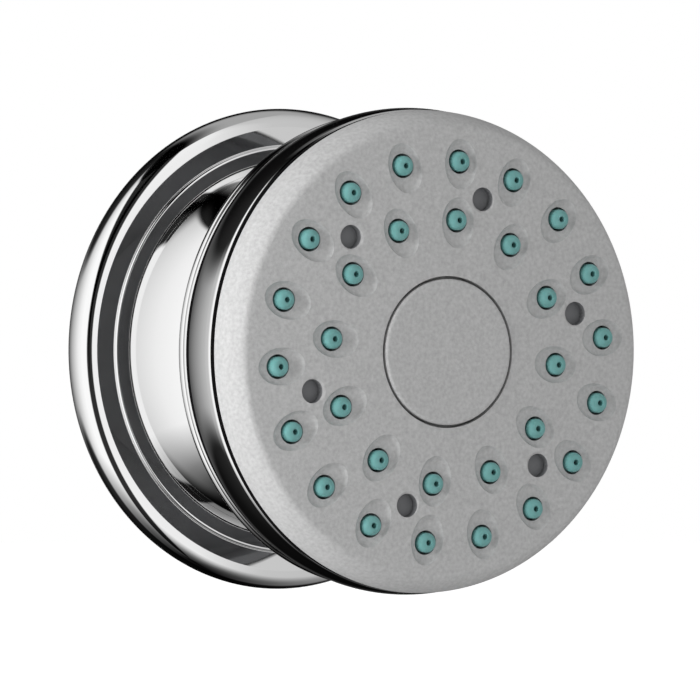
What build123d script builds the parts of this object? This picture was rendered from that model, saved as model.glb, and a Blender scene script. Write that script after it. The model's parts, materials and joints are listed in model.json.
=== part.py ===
from build123d import *
import os
from math import asin, cos, degrees, radians, sin, sqrt, tan

# Shower body jet: a wall flange, a neck sleeve and a bell-shaped spray head on a ball joint.
# Millimetres and degrees. The wall is the plane Y = 0, the spray leaves along -Y and Z is up.
# The origin is the centre of the inlet thread's mouth. Depth is the distance from the wall,
# so a point at depth d lies at Y = -d, and every turned outline is drawn as (radius, depth).

# Wall flange
flange_overhang = 8.92
flange_height = 5.2
flange_wall = 1.4
rim_round_share = 0.644
rim_cone_width = 0.85
rim_cone_lean = 20.0
collar_width = 2.7
collar_rise = 0.7
collar_round = 0.5
collar_foot_wall = 1.7
ledge_depth = 2.0
ledge_wall = 1.4
ledge_width = 2.5

# Neck sleeve: a straight root, a zone of a sphere that leans in, and a narrower throat
neck_radius = 31.5
neck_wall = 1.3
neck_length = 34.4
neck_end_wall = 1.5
neck_edge_round = 0.8
neck_root_rise = 0.2
neck_root_round = 1.0
neck_lean = 20.0
throat_margin = 1.5
throat_round = 2.5

# Inlet body with its half-inch pipe thread, drawn at the thread's crests
thread_radius = 9.32
thread_length = 11.0
hex_across_flats = 27.0
hex_length = 11.0
pocket_radius = 8.9
waterway_radius = 5.5
socket_wall = 3.0

# Washer, strainer and flow limiter in the inlet
washer_setback = 0.3
washer_thickness = 1.7
washer_hole_radius = 6.0
strainer_thickness = 1.2
strainer_rim = 1.6
gauze_thickness = 0.4
limiter_thickness = 2.4
limiter_orifice_radius = 2.2
limiter_mouth_radius = 5.0

# Ball joint
ball_radius = 10.0
ball_setback = 7.4
seat_wall = 2.95
rear_seat_setback = 3.4
seal_length = 4.2
front_seat_length = 4.6
flare_radius = 5.2
flare_length = 6.0

# Clamp nut
nut_wall = 2.75
nut_thread_length = 9.1
nut_hole_radius = 8.7
nut_flange_radius = 21.0
nut_flange_thickness = 1.6
nut_slot_count = 4
nut_slot_width = 3.6
nut_slot_depth = 1.7

# Spigot that the head turns on
stem_radius = 6.0
stem_bore_radius = 3.2
shoulder_radius = 8.5
shoulder_thickness = 1.7
stem_end_length = 0.45
seal_groove_depth = 1.35
seal_width = 1.2
thrust_washer_thickness = 0.55
thrust_washer_radius = 8.6
clip_thickness = 0.7
clip_radius = 7.6
clip_groove_depth = 0.8
clip_gap_width = 4.0

# Bell housing
bell_radius = 39.85
bell_side_bulge = 0.4
bead_step = 0.85
bead_round = 0.8
groove_width = 3.0
groove_depth = 0.7
groove_round = 0.3
bell_edge_round = 0.55
skirt_wall = 1.5
skirt_reach = 7.9
tilt_room = 6.1
web_thickness = 1.5
web_corner_round = 1.5
hub_radius = 9.5
hub_height = 1.5
cavity_wall = 1.85
post_radius = 4.2
post_floor_height = 2.4

# Spray face
face_thickness = 4.85
face_proud = 9.15
dome_radius = 317.0
face_setback = 0.45
bevel_width = 2.33
shoulder_round = 1.2
rim_gap = 0.8
rim_land = 0.3
face_skirt_wall = 1.7
chamber_gasket_thickness = 1.0
head_turn = -4.9

# Nozzles, each in a dimple that is long towards the middle
outer_ring_inset = 5.97
outer_ring_count = 18
outer_ring_phase = 10.0
inner_ring_inset = 15.57
inner_ring_count = 12
inner_ring_phase = 0.0
nozzle_tip_radius = 1.65
nozzle_tip_chamfer = 0.5
nozzle_bore_radius = 0.45
nozzle_proud = 1.1
dimple_depth = 0.45
dimple_length_radius = 21.2
dimple_width_radius = 9.6

# Nozzle mat and backing plate behind the face
mat_thickness = 1.2
plate_thickness = 1.5
plate_hole_radius = 12.0
plate_standoff = 0.5
slot_width = 3.0

# Screws in their wells
screw_ring_inset = 11.37
screw_count = 6
screw_phase = 20.0
well_radius = 1.9
well_wall = 1.0
screw_head_radius = 1.65
screw_head_height = 1.4
screw_shank_radius = 1.0
screw_seat_thickness = 2.1
screw_tip_wall = 0.8

# Centre cap
cap_inset = 25.17
cap_thickness = 2.4
cap_edge_round = 0.45
cap_gap = 0.3
cap_peg_radius = 2.5
cap_peg_length = 1.3

# Clearances
running_gap = 0.05
seat_gap = 0.08
press_gap = 0.03
loose_gap = 0.1
collar_gap = 0.1
mat_gap = 0.2
nozzle_gap = 0.15
gasket_gap = 0.3

# Depths along the stack, from the wall to the pole of the spray face
collar_top = flange_height + collar_rise
neck_root = collar_top + neck_root_rise
neck_dome_centre = neck_root - neck_radius * tan(radians(neck_lean))
neck_front = ledge_depth + neck_length
ball_depth = neck_front - ball_setback
pocket_end = thread_length + washer_setback + washer_thickness + strainer_thickness + limiter_thickness
socket_floor = ball_depth - ball_radius
rear_seat_front = ball_depth - rear_seat_setback
seal_rear = rear_seat_front + loose_gap
seal_front = seal_rear + seal_length
front_seat_front = seal_front + loose_gap + front_seat_length
body_front = front_seat_front - loose_gap
nut_rear = front_seat_front - nut_thread_length
nut_front = neck_front + nut_flange_thickness
web_rear = neck_front + tilt_room
web_front = web_rear + web_thickness
hub_front = web_front + hub_height
shoulder_front = web_rear - running_gap
shoulder_rear = shoulder_front - shoulder_thickness
thrust_washer_rear = hub_front + running_gap
thrust_washer_front = thrust_washer_rear + thrust_washer_thickness
clip_rear = thrust_washer_front + running_gap
clip_front = clip_rear + clip_thickness
stem_front = clip_front + stem_end_length
plate_rear = stem_front + plate_standoff
mat_rear = plate_rear + plate_thickness
face_inside = mat_rear + mat_thickness
pole_depth = face_inside + face_thickness
bell_front = pole_depth - face_proud
bell_rear = web_rear - skirt_reach
rim_depth = bell_front + rim_gap
post_floor = web_front + post_floor_height
well_floor = post_floor + screw_seat_thickness
face_skirt_end = web_front + chamber_gasket_thickness
cap_floor = pole_depth - cap_thickness

# Radii that follow from what fits into what
flange_radius = neck_radius + flange_overhang
rim_round = flange_height * rim_round_share
collar_radius = neck_radius + collar_width
collar_bore = neck_radius + collar_gap
socket_radius = ball_radius + seat_wall + running_gap
body_radius = socket_radius + socket_wall
nut_bore = body_radius + running_gap
nut_radius = nut_bore + nut_wall
neck_dome_radius = neck_radius / cos(radians(neck_lean))
throat_radius = nut_flange_radius + throat_margin
hub_bore = stem_radius + running_gap
bell_end_radius = bell_radius - bell_side_bulge
bead_centre = bell_radius - bead_step - bead_round
face_radius = bell_radius - face_setback
shoulder_ring_radius = face_radius - bevel_width
outer_ring_radius = shoulder_ring_radius - outer_ring_inset
inner_ring_radius = shoulder_ring_radius - inner_ring_inset
screw_ring_radius = shoulder_ring_radius - screw_ring_inset
cap_radius = shoulder_ring_radius - cap_inset
cavity_radius = bell_radius - cavity_wall
face_skirt_radius = cavity_radius - loose_gap
face_skirt_bore = face_skirt_radius - face_skirt_wall
plate_radius = face_skirt_bore - loose_gap
mat_radius = plate_radius - mat_gap
boss_radius = well_radius + well_wall
boss_hole_radius = boss_radius + mat_gap
nozzle_hole_radius = nozzle_tip_radius + nozzle_gap

half_section = Plane(origin=(0, 0, 0), x_dir=(1, 0, 0), z_dir=(0, 0, -1))


def at(depth):
    """Drawing plane parallel to the wall, facing the room, with X to the right and Z up."""
    return Plane.XZ.offset(depth)


def turned(*outline):
    """Solid turned about the spray axis from a closed outline of (radius, depth)."""
    return revolve(half_section * make_face(outline), Axis.Y)


def turned_polygon(*corners):
    """Turned solid whose outline has straight sides only."""
    return turned(Polyline(*corners, close=True))


def ring(outer, inner, start, end):
    """Plain ring between two depths."""
    return extrude(at(start) * (Circle(outer) - Circle(inner)), end - start)


def rods(radius, places, start, end):
    """Equal round rods, or hole cutters, at places of a pattern between two depths."""
    return [extrude(at(start) * place * Circle(radius), end - start) for place in places]


def rounded(outline, corner, radius):
    """Outline with the corner nearest to a point rounded off."""
    return fillet(outline.vertices().sort_by_distance(corner)[0], radius)


def dome_depth(radius):
    """Depth of the domed face at a distance from its pole."""
    return pole_depth - dome_radius + sqrt(dome_radius**2 - radius**2)


def ball_zone(radius, start, end, centre=ball_depth):
    """Arc of a sphere about a centre on the axis, between two depths, as part of an outline."""
    middle = (start + end) / 2
    depths = (start, middle, end)
    return ThreePointArc(*[(sqrt(radius**2 - (depth - centre) ** 2), depth) for depth in depths])


outer_places = PolarLocations(outer_ring_radius, outer_ring_count, head_turn + outer_ring_phase)
inner_places = PolarLocations(inner_ring_radius, inner_ring_count, head_turn + inner_ring_phase)
screw_places = PolarLocations(screw_ring_radius, screw_count, head_turn + screw_phase)
nozzle_rings = [(outer_ring_radius, outer_places), (inner_ring_radius, inner_places)]


def wall_flange():
    """Pressed cover plate with a rolled rim, a raised collar and a ledge for the sleeve."""
    collar_foot = collar_bore + collar_foot_wall
    underside = flange_height - flange_wall
    lean = radians(rim_cone_lean)
    rim_centre = flange_radius - rim_round
    cone_foot = (rim_centre + rim_round * sin(lean), flange_height - rim_cone_width * tan(lean))
    rim_centre_depth = cone_foot[1] - rim_round * cos(lean)
    rim_foot = rim_centre + sqrt(rim_round**2 - rim_centre_depth**2)
    rim_inside = (flange_radius - flange_wall, underside)
    collar_edge = (collar_radius, collar_top)
    rim = ThreePointArc((rim_foot, 0), (flange_radius, rim_centre_depth), cone_foot)
    rest = Polyline(
        cone_foot,
        (cone_foot[0] - rim_cone_width, flange_height),
        (collar_radius, flange_height),
        collar_edge,
        (collar_bore, collar_top),
        (collar_bore, ledge_depth),
        (collar_bore - ledge_width, ledge_depth),
        (collar_bore - ledge_width, ledge_depth - ledge_wall),
        (collar_foot, ledge_depth - ledge_wall),
        (collar_foot, underside),
        rim_inside,
        (flange_radius - flange_wall, 0),
        (rim_foot, 0),
    )
    outline = rounded(make_face([rim, rest]), rim_inside, rim_round - flange_wall)
    return revolve(half_section * rounded(outline, collar_edge, collar_round), Axis.Y)


def flange_gasket():
    """Soft ring that fills the flange and seals it to the wall."""
    outer = flange_radius - rim_round - gasket_gap
    inner = collar_bore + collar_foot_wall + gasket_gap
    return ring(outer, inner, 0, flange_height - flange_wall)


def neck_sleeve():
    """Drawn sleeve that leans in from the flange to a throat, which the clamp nut holds down."""
    bore = neck_radius - neck_wall
    throat_bore = throat_radius - neck_wall
    bore_dome_radius = neck_dome_radius - neck_wall
    hole = nut_radius + loose_gap
    throat_depth = neck_dome_centre + sqrt(neck_dome_radius**2 - throat_radius**2)
    bore_throat = neck_dome_centre + sqrt(bore_dome_radius**2 - throat_bore**2)
    bore_root = neck_dome_centre + sqrt(bore_dome_radius**2 - bore**2)
    root = Line((neck_radius, ledge_depth), (neck_radius, neck_root))
    dome = ball_zone(neck_dome_radius, neck_root, throat_depth, neck_dome_centre)
    throat = Polyline(
        (throat_radius, throat_depth),
        (throat_radius, neck_front),
        (hole, neck_front),
        (hole, neck_front - neck_end_wall),
        (throat_bore, neck_front - neck_end_wall),
        (throat_bore, bore_throat),
    )
    inside = ball_zone(bore_dome_radius, bore_throat, bore_root, neck_dome_centre)
    foot = Polyline((bore, bore_root), (bore, ledge_depth), (neck_radius, ledge_depth))
    outline = make_face([root, dome, throat, inside, foot])
    outline = rounded(outline, (neck_radius, neck_root), neck_root_round)
    outline = rounded(outline, (throat_radius, throat_depth), throat_round)
    outline = rounded(outline, (throat_radius, neck_front), neck_edge_round)
    return revolve(half_section * outline, Axis.Y)


def inlet_body():
    """Turned brass body: spanner hexagon, inlet thread, insert pocket and ball socket."""
    spanner_hex = RegularPolygon(hex_across_flats / 2, 6, major_radius=False)
    body = extrude(at(0) * spanner_hex, hex_length)
    body += extrude(at(hex_length) * Circle(body_radius), body_front - hex_length)
    passage = turned_polygon(
        (0, 0),
        (thread_radius, 0),
        (thread_radius, thread_length),
        (pocket_radius, thread_length),
        (pocket_radius, pocket_end),
        (waterway_radius, pocket_end),
        (waterway_radius, socket_floor),
        (socket_radius, socket_floor),
        (socket_radius, body_front),
        (0, body_front),
    )
    return body - passage


def inlet_washer():
    """Flat washer that the pipe end is tightened on."""
    start = thread_length + washer_setback
    return ring(pocket_radius - loose_gap, washer_hole_radius, start, start + washer_thickness)


def inlet_strainer():
    """Strainer: a gauze disc moulded into a rim."""
    start = thread_length + washer_setback + washer_thickness
    end = start + strainer_thickness
    outer = pocket_radius - loose_gap
    gauze = end - gauze_thickness
    return turned_polygon(
        (0, gauze),
        (outer - strainer_rim, gauze),
        (outer - strainer_rim, start),
        (outer, start),
        (outer, end),
        (0, end),
    )


def flow_limiter():
    """Orifice disc with a funnel mouth towards the inlet."""
    start = pocket_end - limiter_thickness
    middle = (start + pocket_end) / 2
    outer = pocket_radius - loose_gap
    return turned_polygon(
        (limiter_mouth_radius, start),
        (outer, start),
        (outer, pocket_end),
        (limiter_orifice_radius, pocket_end),
        (limiter_orifice_radius, middle),
    )


def ball_seat():
    """Rear seat ring that the ball bears on and that turns with it in the socket."""
    start = socket_floor + running_gap
    outer = socket_radius - running_gap
    bowl = ball_radius + seat_gap
    mouth = waterway_radius + seat_gap
    bowl_start = ball_depth - sqrt(bowl**2 - mouth**2)
    bowl_edge = sqrt(bowl**2 - rear_seat_setback**2)
    return turned(
        ball_zone(bowl, bowl_start, rear_seat_front),
        Polyline(
            (bowl_edge, rear_seat_front),
            (outer, rear_seat_front),
            (outer, start),
            (mouth, start),
            (mouth, bowl_start),
        ),
    )


def ball_seal():
    """Rubber ring round the ball's waist."""
    return ring(socket_radius - press_gap, ball_radius + seat_gap, seal_rear, seal_front)


def front_seat():
    """Front seat ring that the clamp nut presses on the ball."""
    start = seal_front + loose_gap
    outer = socket_radius - press_gap
    bowl = ball_radius + seat_gap
    start_edge = sqrt(bowl**2 - (start - ball_depth) ** 2)
    end_edge = sqrt(bowl**2 - (front_seat_front - ball_depth) ** 2)
    return turned(
        ball_zone(bowl, start, front_seat_front),
        Polyline(
            (end_edge, front_seat_front),
            (outer, front_seat_front),
            (outer, start),
            (start_edge, start),
        ),
    )


def clamp_nut():
    """Ring nut: its lip holds the ball, its flange holds the sleeve, its slots take a spanner."""
    nut = turned_polygon(
        (nut_hole_radius, front_seat_front),
        (nut_bore, front_seat_front),
        (nut_bore, nut_rear),
        (nut_radius, nut_rear),
        (nut_radius, neck_front),
        (nut_flange_radius, neck_front),
        (nut_flange_radius, nut_front),
        (nut_hole_radius, nut_front),
    )
    slot_places = PolarLocations(nut_flange_radius, nut_slot_count)
    slot = Rectangle(nut_slot_depth * 2, nut_slot_width)
    slots = [extrude(at(neck_front) * place * slot, nut_flange_thickness) for place in slot_places]
    return nut - slots


def ball_spigot():
    """Ball and hollow stem in one turned piece, with grooves for the seal and the clip."""
    neck_depth = ball_depth + sqrt(ball_radius**2 - stem_radius**2)
    flare_depth = ball_depth - sqrt(ball_radius**2 - flare_radius**2)
    groove_floor = stem_radius - seal_groove_depth
    groove_rear = (web_rear + hub_front - seal_width) / 2 - running_gap
    groove_front = groove_rear + seal_width + 2 * running_gap
    clip_floor = stem_radius - clip_groove_depth
    clip_groove_front = clip_front + running_gap
    return turned(
        ball_zone(ball_radius, flare_depth, neck_depth),
        Polyline(
            (stem_radius, neck_depth),
            (stem_radius, shoulder_rear),
            (shoulder_radius, shoulder_rear),
            (shoulder_radius, shoulder_front),
            (stem_radius, shoulder_front),
            (stem_radius, groove_rear),
            (groove_floor, groove_rear),
            (groove_floor, groove_front),
            (stem_radius, groove_front),
            (stem_radius, clip_rear),
            (clip_floor, clip_rear),
            (clip_floor, clip_groove_front),
            (stem_radius, clip_groove_front),
            (stem_radius, stem_front),
            (stem_bore_radius, stem_front),
            (stem_bore_radius, flare_depth + flare_length),
            (flare_radius, flare_depth),
        ),
    )


def spigot_seal():
    """Square-section ring that seals the stem in the head."""
    start = (web_rear + hub_front - seal_width) / 2
    return ring(stem_radius, stem_radius - seal_groove_depth, start, start + seal_width)


def thrust_washer():
    """Slip washer between the head and the clip."""
    inner = stem_radius + running_gap
    return ring(thrust_washer_radius, inner, thrust_washer_rear, thrust_washer_front)


def spigot_clip():
    """Split spring clip in the stem's groove, which keeps the head on."""
    clip = ring(clip_radius, stem_radius - clip_groove_depth, clip_rear, clip_front)
    gap = at(clip_rear) * Pos(0, -clip_radius / 2) * Rectangle(clip_gap_width, clip_radius)
    return clip - extrude(gap, clip_thickness)


def bell_housing():
    """Bell-shaped housing: barrelled side, rear bead, web with hub and screw posts."""
    bead_middle = bell_rear + bead_round
    bead_front = bead_middle + bead_round
    side_rear = bead_front + groove_width
    side_middle = (side_rear + bell_front) / 2
    skirt_bore = bead_centre - skirt_wall
    front_edge = (bell_end_radius, bell_front)
    rear_edge = (bell_end_radius, side_rear)
    front_lip = Line((cavity_radius, bell_front), front_edge)
    side = ThreePointArc(front_edge, (bell_radius, side_middle), rear_edge)
    groove = FilletPolyline(
        rear_edge,
        (bead_centre - groove_depth, bead_front + groove_width / 2),
        (bead_centre, bead_front),
        radius=groove_round,
    )
    bead = ThreePointArc(
        (bead_centre, bead_front), (bead_centre + bead_round, bead_middle), (bead_centre, bell_rear)
    )
    inside = FilletPolyline(
        (bead_centre, bell_rear),
        (skirt_bore, bell_rear),
        (skirt_bore, web_rear),
        (hub_bore, web_rear),
        (hub_bore, hub_front),
        (hub_radius, hub_front),
        (hub_radius, web_front),
        (cavity_radius, web_front),
        (cavity_radius, bell_front),
        radius=[0, web_corner_round, 0, 0, 0, 0, 0],
    )
    outline = rounded(make_face([front_lip, side, groove, bead, inside]), front_edge, bell_edge_round)
    housing = revolve(half_section * outline, Axis.Y)
    housing += rods(post_radius, screw_places, web_front, plate_rear)
    housing -= rods(boss_radius + running_gap, screw_places, post_floor, plate_rear)
    thread_floor = web_rear + screw_tip_wall
    housing -= rods(screw_shank_radius + press_gap, screw_places, thread_floor, post_floor)
    return housing


def chamber_gasket():
    """Flat ring that seals the face's skirt to the housing's web."""
    return ring(face_skirt_radius, face_skirt_bore, web_front, face_skirt_end)


def backing_plate():
    """Water plate behind the mat, with curved slots that feed the nozzles."""
    plate = ring(plate_radius, plate_hole_radius, plate_rear, mat_rear)
    plate -= rods(boss_hole_radius, screw_places, plate_rear, mat_rear)
    slots = []
    for ring_radius, count, phase in (
        (outer_ring_radius, outer_ring_count, outer_ring_phase),
        (inner_ring_radius, inner_ring_count, inner_ring_phase),
    ):
        spacing = 360 / count
        fed = count // screw_count
        span = spacing * (fed - 1)
        first = phase + spacing * ((screw_phase - phase) // spacing + 1)
        for number in range(screw_count):
            start = head_turn + first + number * 360 / screw_count
            path = CenterArc((0, 0), ring_radius, start, span)
            slots.append(extrude(at(plate_rear) * SlotArc(path, slot_width), plate_thickness))
    return plate - slots


def nozzle_mat():
    """Silicone mat with a soft nozzle for every hole of the face."""
    point_radius = nozzle_tip_radius - nozzle_tip_chamfer
    foot = (Align.CENTER, Align.CENTER, Align.MIN)
    nozzle_point = Cone(nozzle_tip_radius, point_radius, nozzle_tip_chamfer, align=foot)
    mat = ring(mat_radius, plate_hole_radius, mat_rear, face_inside)
    mat -= rods(boss_hole_radius, screw_places, mat_rear, face_inside)
    for ring_radius, places in nozzle_rings:
        tip = dome_depth(ring_radius) - dimple_depth + nozzle_proud
        shoulder = tip - nozzle_tip_chamfer
        mat += rods(nozzle_tip_radius, places, face_inside, shoulder)
        mat += [at(shoulder) * place * nozzle_point for place in places]
        mat -= rods(nozzle_bore_radius, places, mat_rear, tip)
    return mat


def face_plate():
    """Domed spray face with a bevelled edge, dimples, nozzle holes and screw wells."""
    shoulder = (shoulder_ring_radius, dome_depth(shoulder_ring_radius))
    halfway = shoulder_ring_radius / 2
    dome = ThreePointArc((0, pole_depth), (halfway, dome_depth(halfway)), shoulder)
    rim_edge = (face_radius, rim_depth + rim_land)
    bevel = TangentArc(rim_edge, shoulder, tangent=(0, 1))
    rest = Polyline(
        rim_edge,
        (face_radius - rim_land, rim_depth),
        (face_skirt_radius, rim_depth),
        (face_skirt_radius, face_skirt_end),
        (face_skirt_bore, face_skirt_end),
        (face_skirt_bore, face_inside),
        (0, face_inside),
        (0, pole_depth),
    )
    outline = rounded(make_face([dome, bevel, rest]), shoulder, shoulder_round)
    plate = revolve(half_section * outline, Axis.Y)
    plate += rods(boss_radius, screw_places, post_floor, face_inside)
    plate -= rods(screw_shank_radius + loose_gap, screw_places, post_floor, well_floor)
    plate -= rods(well_radius, screw_places, well_floor, pole_depth)
    for ring_radius, places in nozzle_rings:
        plate -= [dimple(ring_radius, place) for place in places]
        plate -= rods(nozzle_hole_radius, places, face_inside, pole_depth)
    cap_floor_plane = at(cap_floor)
    plate -= extrude(cap_floor_plane * Circle(cap_radius + cap_gap), cap_thickness)
    plate -= extrude(cap_floor_plane * Circle(cap_peg_radius + press_gap), -cap_peg_length - loose_gap)
    return plate


def dimple(ring_radius, place):
    """Cutter for one dimple: the outside of a torus that stands along the radius."""
    slope = degrees(asin(ring_radius / dome_radius))
    lift = dimple_length_radius - dimple_depth
    stand = at(dome_depth(ring_radius)) * place * Rot(0, slope, 0) * Pos(0, 0, lift) * Rot(90, 0, 0)
    return stand * Torus(dimple_length_radius - dimple_width_radius, dimple_width_radius)


def face_screws():
    """Six screws that hold the face on the housing's posts."""
    tip = web_rear + screw_tip_wall + loose_gap
    screws = []
    for place in screw_places:
        shank = extrude(at(tip) * place * Circle(screw_shank_radius), well_floor - tip)
        head = extrude(at(well_floor) * place * Circle(screw_head_radius), screw_head_height)
        screws.append(shank + head)
    return Compound(children=screws)


def centre_cap():
    """Bare cap in the middle of the face, held by its peg."""
    edge = (cap_radius, dome_depth(cap_radius))
    halfway = cap_radius / 2
    dome = ThreePointArc((0, pole_depth), (halfway, dome_depth(halfway)), edge)
    rest = Polyline(
        edge,
        (cap_radius, cap_floor),
        (cap_peg_radius, cap_floor),
        (cap_peg_radius, cap_floor - cap_peg_length),
        (0, cap_floor - cap_peg_length),
        (0, pole_depth),
    )
    outline = rounded(make_face([dome, rest]), edge, cap_edge_round)
    return revolve(half_section * outline, Axis.Y)


pieces = [
    wall_flange,
    flange_gasket,
    neck_sleeve,
    inlet_body,
    inlet_washer,
    inlet_strainer,
    flow_limiter,
    ball_seat,
    ball_seal,
    front_seat,
    clamp_nut,
    ball_spigot,
    spigot_seal,
    thrust_washer,
    spigot_clip,
    bell_housing,
    chamber_gasket,
    backing_plate,
    nozzle_mat,
    face_plate,
    face_screws,
    centre_cap,
]

os.makedirs("parts", exist_ok=True)
for piece in pieces:
    export_step(piece(), f"parts/{piece.__name__}.step")
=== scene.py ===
# %% [markdown]
# # A shower body jet
# The object is a round wall jet: a chrome flange, a short chrome neck and a bell-shaped spray head
# with a satin grey face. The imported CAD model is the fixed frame. This script gives it smooth
# turned shells, a finely cut face, soft nozzles and finished materials, all in the same metres.

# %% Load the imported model
import json
from math import acos, asin, cos, degrees, pi, radians, sin, sqrt, tan

import bmesh
import bpy
from mathutils import Matrix, Vector


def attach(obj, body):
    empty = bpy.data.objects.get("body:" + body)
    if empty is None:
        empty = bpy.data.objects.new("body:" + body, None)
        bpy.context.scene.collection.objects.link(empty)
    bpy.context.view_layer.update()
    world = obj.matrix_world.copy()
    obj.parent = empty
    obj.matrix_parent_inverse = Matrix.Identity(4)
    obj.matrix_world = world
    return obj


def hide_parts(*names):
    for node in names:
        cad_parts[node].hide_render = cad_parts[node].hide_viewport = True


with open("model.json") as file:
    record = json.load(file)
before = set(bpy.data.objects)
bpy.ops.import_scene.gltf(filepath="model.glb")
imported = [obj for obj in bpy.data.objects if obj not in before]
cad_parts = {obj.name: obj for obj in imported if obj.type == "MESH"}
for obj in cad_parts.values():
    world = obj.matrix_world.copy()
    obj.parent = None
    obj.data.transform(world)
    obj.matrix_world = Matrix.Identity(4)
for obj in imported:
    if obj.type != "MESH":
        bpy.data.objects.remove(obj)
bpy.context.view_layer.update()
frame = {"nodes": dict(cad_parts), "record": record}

MM = 0.001

# %% [markdown]
# ## The camera
# The photograph was taken with a long lens from the front left, almost level with the axis. A lens
# this long keeps the round edges nearly true ellipses, so the angle and the distance were solved
# from the rings of nozzles. The camera is built from three directions: back towards the camera,
# right and up. That is easier to check than three Euler angles.

# %% Camera
VIEW_CENTRE = Vector((0, -55.0, 0)) * MM
view_turn, view_rise, view_roll = radians(-31.886), radians(0.095), radians(0.931)
camera_distance = 1.2047
aim_right, aim_up = -15.92 * MM, 0.33 * MM

back = Vector((sin(view_turn) * cos(view_rise), -cos(view_turn) * cos(view_rise), sin(view_rise)))
level_right = Vector((cos(view_turn), sin(view_turn), 0))
level_up = back.cross(level_right)
right = cos(view_roll) * level_right + sin(view_roll) * level_up
up = cos(view_roll) * level_up - sin(view_roll) * level_right

stand = VIEW_CENTRE + back * camera_distance
aim = VIEW_CENTRE + right * aim_right + up * aim_up
look_back = (stand - aim).normalized()
look_right = up.cross(look_back).normalized()
look_up = look_back.cross(look_right)

camera_data = bpy.data.cameras.new("photo_camera")
camera_data.sensor_width = 36.0
camera_data.lens = 381.8
camera_data.clip_start = 0.05
camera = bpy.data.objects.new("photo_camera", camera_data)
camera.matrix_world = Matrix((look_right, look_up, look_back)).transposed().to_4x4()
camera.matrix_world.translation = stand
bpy.context.scene.collection.objects.link(camera)
bpy.context.scene.camera = camera
print("camera at", [round(value, 3) for value in stand])

# %% [markdown]
# ## Small helpers for materials
# Colours are written as sRGB hex values, the way a picture shows them, and Blender calculates in
# linear light, so one function converts them. A second function adds any node with its settings
# and links, which keeps the materials below short, and a third turns a size in millimetres into the
# scale of a texture. The Standard view shows colours as they are, without a film look.

# %% Colour and node helpers
def linear(hex_colour):
    """sRGB hex colour as the linear RGBA that shader sockets expect."""
    values = [int(hex_colour[place:place + 2], 16) / 255 for place in (1, 3, 5)]
    return [v / 12.92 if v <= 0.04045 else ((v + 0.055) / 1.055) ** 2.4 for v in values] + [1.0]


def add_node(tree, kind, settings=None, inputs=None):
    """Adds one node, applies its settings, and gives each named input a value or a link."""
    node = tree.nodes.new(kind)
    for name, value in (settings or {}).items():
        setattr(node, name, value)
    for name, value in (inputs or {}).items():
        if isinstance(value, bpy.types.NodeSocket):
            tree.links.new(value, node.inputs[name])
        else:
            node.inputs[name].default_value = value
    return node


def per_metre(size_mm):
    """Texture scale whose pattern repeats about once in a size given in millimetres."""
    return 1 / (size_mm * MM)


bpy.context.scene.view_settings.view_transform = "Standard"
print("white is", linear("#FFFFFF"))

# %% [markdown]
# ## Studio: the world
# Chrome has no colour of its own and shows the studio around it. In the photograph the neck is
# white over most of its height and dark only at its top and its foot, so bright screens stand on
# the left, with dark cards above, below and behind the camera. Screens could be glowing planes round
# the object, but each would have to be hidden from the camera and from soft surfaces. So the world
# draws them, for mirror rays alone. It starts from a ray's bearing round the horizon and its height
# above the level.

# %% World directions
world = bpy.data.worlds.new("studio")
bpy.context.scene.world = world
world.use_nodes = True
tree = world.node_tree
tree.nodes.clear()

direction = add_node(tree, "ShaderNodeTexCoord").outputs["Generated"]
axes = add_node(tree, "ShaderNodeSeparateXYZ", inputs={"Vector": direction})
forward = add_node(tree, "ShaderNodeMath", {"operation": "MULTIPLY"}, {0: axes.outputs["Y"], 1: -1.0})
bearing = add_node(
    tree, "ShaderNodeMath", {"operation": "ARCTAN2"}, {0: axes.outputs["X"], 1: forward.outputs[0]}
)
height = add_node(tree, "ShaderNodeMath", {"operation": "ARCSINE"}, {0: axes.outputs["Z"]})

round_place = add_node(
    tree, "ShaderNodeMapRange", inputs={"Value": bearing.outputs[0], "From Min": -pi, "From Max": pi}
)
height_place = add_node(
    tree,
    "ShaderNodeMapRange",
    inputs={"Value": height.outputs[0], "From Min": -pi / 2, "From Max": pi / 2},
)
print("direction nodes:", len(tree.nodes))

# %% [markdown]
# The screens are two colour ramps that are multiplied, one round the horizon and one over height. A
# stop is an angle and a brightness. They were set by comparing the mirrored streaks with the
# photograph, from the flange to the bell.

# %% World screens
# Bearings in degrees from the spray axis, left is negative; brightness 1 is white.
horizon_screens = [
    (-180, 0.1), (-174, 0.12), (-166, 0.2), (-149, 0.37), (-138, 0.5), (-127, 0.6), (-108, 0.8),
    (-92, 0.97), (-70, 1.1), (-42, 1.1), (-37.5, 0.03), (-12.5, 0.03), (-9, 1.0), (15, 0.95),
    (32, 0.62), (60, 0.55), (90, 0.42), (120, 0.25), (140, 0.08), (150, 0.03), (180, 0.1),
]
# Heights in degrees above the level.
height_screens = [
    (-90, 0.02), (-80, 0.06), (-72, 0.12), (-62, 0.3), (-52, 0.62), (-40, 1.0), (63, 1.0), (65, 0.02),
    (90, 0.02),
]


def fill_ramp(ramp, stops, low, high):
    """Gives a colour ramp grey stops from pairs of an angle and a brightness."""
    while len(ramp.elements) > 1:
        ramp.elements.remove(ramp.elements[-1])
    for number, (angle, level) in enumerate(stops):
        place = (angle - low) / (high - low)
        stop = ramp.elements[0] if number == 0 else ramp.elements.new(place)
        stop.position = place
        stop.color = (level, level, level, 1)


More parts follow.
